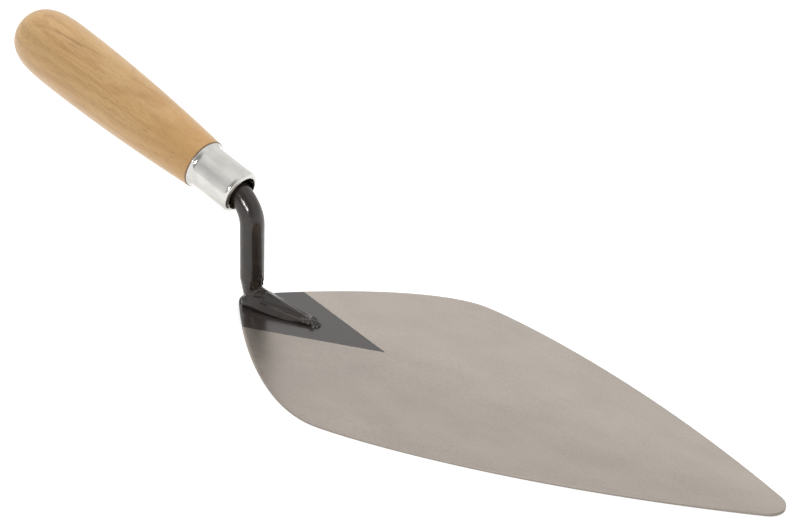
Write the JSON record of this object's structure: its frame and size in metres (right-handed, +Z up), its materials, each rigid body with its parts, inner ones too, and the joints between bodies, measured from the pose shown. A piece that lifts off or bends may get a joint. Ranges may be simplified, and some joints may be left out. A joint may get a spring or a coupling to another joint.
{
  "type": "brick trowel",
  "caption": "London-pattern brick trowel: flat spear-shaped steel blade, cranked black tang, plated ferrule and turned wooden handle.",
  "frame": {"origin": "on the blade's flat underside, on the centreline, below the widest section", "axes": "+X along the blade from heel to tip, +Y to the side, +Z up from the underside towards the handle"},
  "size_m": [0.4141, 0.127, 0.118],
  "materials": {
    "blade_steel": "ground satin steel, lacquered black on a masked spear-shaped patch at the heel",
    "black_lacquer": "semi-gloss black lacquer over forged steel",
    "weld_lacquer": "semi-gloss black lacquer over rippled weld metal",
    "ferrule_plate": "polished nickel plate",
    "handle_wood": "pale hardwood, turned and clear lacquered"
  },
  "bodies": {
    "root": {"blade": "blade_steel", "tang": "black_lacquer", "heel_weld": "weld_lacquer", "nose_weld": "weld_lacquer", "ferrule": "ferrule_plate", "handle": "handle_wood"}
  },
  "joints": []
}
